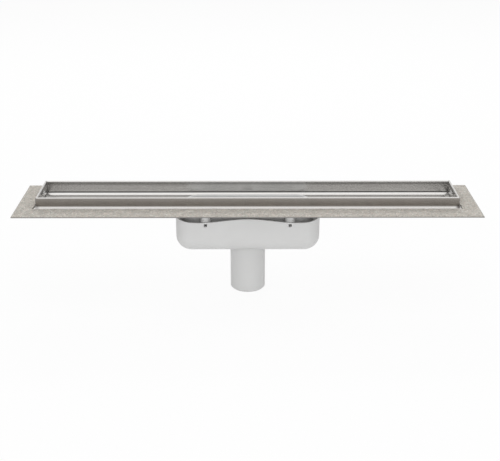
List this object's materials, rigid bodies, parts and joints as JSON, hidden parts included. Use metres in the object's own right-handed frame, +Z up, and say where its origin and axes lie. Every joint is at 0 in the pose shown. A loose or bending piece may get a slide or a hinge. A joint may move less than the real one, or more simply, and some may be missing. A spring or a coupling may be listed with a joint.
{
  "type": "linear shower drain",
  "caption": "Long shallow folded steel shower channel with a sand-coated flange, over a moulded light-grey water trap with a slotted sieve and a vertical outlet spigot.",
  "frame": {"origin": "centre of the outlet spigot's lower end", "axes": "+Z up along the spigot, +X along the channel"},
  "size_m": [0.64, 0.1301, 0.1496],
  "materials": {
    "stainless": "fine lengthwise brushed",
    "grit": "rough bonded sand",
    "trap_plastic": "satin moulded",
    "insert_plastic": "satin moulded",
    "seal_rubber": "matt",
    "fastener_steel": "bright plated"
  },
  "bodies": {
    "root": {"channel": "stainless", "cover_rest_left": "stainless", "cover_rest_right": "stainless", "flange_grit_coat": "grit", "trap_tub": "trap_plastic", "trap_deck": "trap_plastic", "standpipe": "insert_plastic", "dip_cup": "insert_plastic", "hair_sieve": "insert_plastic", "mouth_seal": "seal_rubber", "standpipe_ring": "seal_rubber", "trap_studs": "fastener_steel", "trap_nuts": "fastener_steel"}
  },
  "joints": []
}
